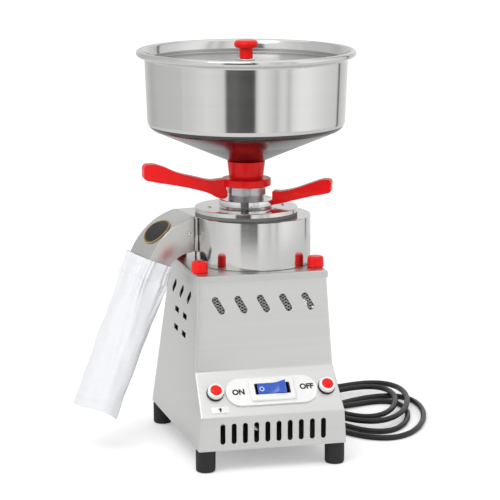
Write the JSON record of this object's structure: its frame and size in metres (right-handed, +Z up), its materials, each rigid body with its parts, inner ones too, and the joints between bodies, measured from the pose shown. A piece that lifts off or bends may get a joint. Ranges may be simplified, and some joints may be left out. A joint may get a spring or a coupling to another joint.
{
  "type": "stone flour mill",
  "caption": "Table-top stone flour mill: steel body on feet, grinding chamber with cloth outlet sleeve, red adjusting and lock handles, lidded hopper, mains cord.",
  "frame": {"origin": "on the standing surface, under the middle of the mill's footprint, its cord left out", "axes": "+Z up, -Y towards the front with the switch panel, +X to the mill's right as seen from the front"},
  "size_m": [0.5354, 0.3943, 0.5643],
  "materials": {
    "satin_steel": "satin stainless sheet with a fine grain",
    "polished_steel": "polished stainless with fine turning lines",
    "chrome": "bright plating",
    "red_enamel": "glossy red enamel on a casting",
    "red_plastic": "glossy red moulding",
    "blue_plastic": "glossy blue moulding",
    "white_plastic": "smooth white moulding",
    "black_plastic": "matt black moulding",
    "black_mesh": "black expanded mesh",
    "black_rubber": "matt black rubber",
    "cord_sheath": "smooth black sheath with a soft sheen",
    "white_cotton": "plain woven white cotton",
    "emery_stone": null,
    "cast_iron": "dark machined iron",
    "cast_aluminium": "bare cast and turned aluminium",
    "brass": "bright brass"
  },
  "bodies": {
    "mill_body": {"base_plate": "satin_steel", "body_casing": "satin_steel", "button_bezel_left": "white_plastic", "button_bezel_right": "white_plastic", "button_seal_left": "black_rubber", "button_seal_right": "black_rubber", "cable_gland": "black_plastic", "capacitor": "cast_aluminium", "capacitor_clip": "satin_steel", "chamber_cover": "polished_steel", "chamber_gasket": "black_rubber", "discharge_duct": "satin_steel", "duct_screw_back": "chrome", "duct_screw_front": "chrome", "flour_sleeve": "white_cotton", "foot_back_left": "black_rubber", "foot_back_right": "black_rubber", "foot_front_left": "black_rubber", "foot_front_right": "black_rubber", "grinding_chamber": "polished_steel", "lower_bearing": "chrome", "motor_housing": "cast_iron", "motor_lower_shield": "cast_iron", "motor_upper_shield": "cast_iron", "plug_body": "black_plastic", "plug_pin_earth": "brass", "plug_pin_line": "brass", "plug_pin_neutral": "brass", "power_cord_coil": "cord_sheath", "power_cord_lead": "cord_sheath", "power_cord_tail": "cord_sheath", "stator_core": "cast_iron", "switch_frame": "white_plastic", "switch_plate": "white_plastic", "top_cap": "satin_steel", "upper_bearing": "chrome", "vent_mesh": "black_mesh"},
    "adjuster": {"adjusting_handle": "red_enamel", "feed_sleeve": "cast_aluminium"},
    "bed": {"bed_stone": "emery_stone", "bed_carrier": "cast_aluminium"},
    "runner": {"runner_stone": "emery_stone", "runner_carrier": "cast_aluminium", "motor_shaft": "chrome", "rotor": "cast_iron", "cooling_fan": "black_plastic"},
    "lock": {"lock_ring": "chrome", "lock_handle": "red_enamel"},
    "hopper": {"hopper_bowl": "polished_steel"},
    "lid": {"hopper_lid": "polished_steel", "lid_ferrule": "chrome", "lid_knob": "red_plastic"},
    "rocker": {"switch_rocker": "blue_plastic"},
    "button_left": {"push_button_left": "red_plastic"},
    "button_right": {"push_button_right": "red_plastic"},
    "knob_front_left": {"corner_knob_front_left": "red_plastic"},
    "knob_front_right": {"corner_knob_front_right": "red_plastic"},
    "knob_back_left": {"corner_knob_back_left": "red_plastic"},
    "knob_back_right": {"corner_knob_back_right": "red_plastic"}
  },
  "joints": [
    {"name": "runner_spin", "type": "hinge", "parent": "mill_body", "child": "runner", "pos_m": [0.04304, 0, 0.28], "axis": [0, 0, 1], "continuous": true},
    {"name": "adjuster_turn", "type": "hinge", "parent": "mill_body", "child": "adjuster", "pos_m": [0.04304, 0, 0.37], "axis": [0, 0, 1], "range_deg": [-50, 50]},
    {"name": "bed_travel", "type": "slide", "parent": "mill_body", "child": "bed", "axis": [0, 0, 1], "range_m": [-0.0006, 0.0006]},
    {"name": "lock_turn", "type": "hinge", "parent": "mill_body", "child": "lock", "pos_m": [0.04304, 0, 0.342], "axis": [0, 0, 1], "range_deg": [0, 60]},
    {"name": "hopper_lift", "type": "slide", "parent": "adjuster", "child": "hopper", "axis": [0, 0, 1], "range_m": [0, 0.1]},
    {"name": "lid_lift", "type": "slide", "parent": "hopper", "child": "lid", "axis": [0, 0, 1], "range_m": [0, 0.06]},
    {"name": "rocker_tilt", "type": "hinge", "parent": "mill_body", "child": "rocker", "pos_m": [0.04654, -0.12456, 0.1053], "axis": [0, 0.6837, 0.7298], "range_deg": [0, 26]},
    {"name": "button_left_press", "type": "slide", "parent": "mill_body", "child": "button_left", "axis": [0, 0.7298, -0.6837], "range_m": [0, 0.0025], "stiffness_N_per_m": 300},
    {"name": "button_right_press", "type": "slide", "parent": "mill_body", "child": "button_right", "axis": [0, 0.7298, -0.6837], "range_m": [0, 0.0025], "stiffness_N_per_m": 300},
    {"name": "knob_front_left_turn", "type": "hinge", "parent": "mill_body", "child": "knob_front_left", "pos_m": [-0.03816, -0.063, 0.265], "axis": [0, 0, 1], "range_deg": [0, 360]},
    {"name": "knob_front_right_turn", "type": "hinge", "parent": "mill_body", "child": "knob_front_right", "pos_m": [0.12424, -0.063, 0.265], "axis": [0, 0, 1], "range_deg": [0, 360]},
    {"name": "knob_back_left_turn", "type": "hinge", "parent": "mill_body", "child": "knob_back_left", "pos_m": [-0.03816, 0.064, 0.265], "axis": [0, 0, 1], "range_deg": [0, 360]},
    {"name": "knob_back_right_turn", "type": "hinge", "parent": "mill_body", "child": "knob_back_right", "pos_m": [0.12424, 0.064, 0.265], "axis": [0, 0, 1], "range_deg": [0, 360]}
  ],
  "couplings": [
    {"joint": "bed_travel", "follows": "adjuster_turn", "m_per_rad": 0.000637}
  ]
}
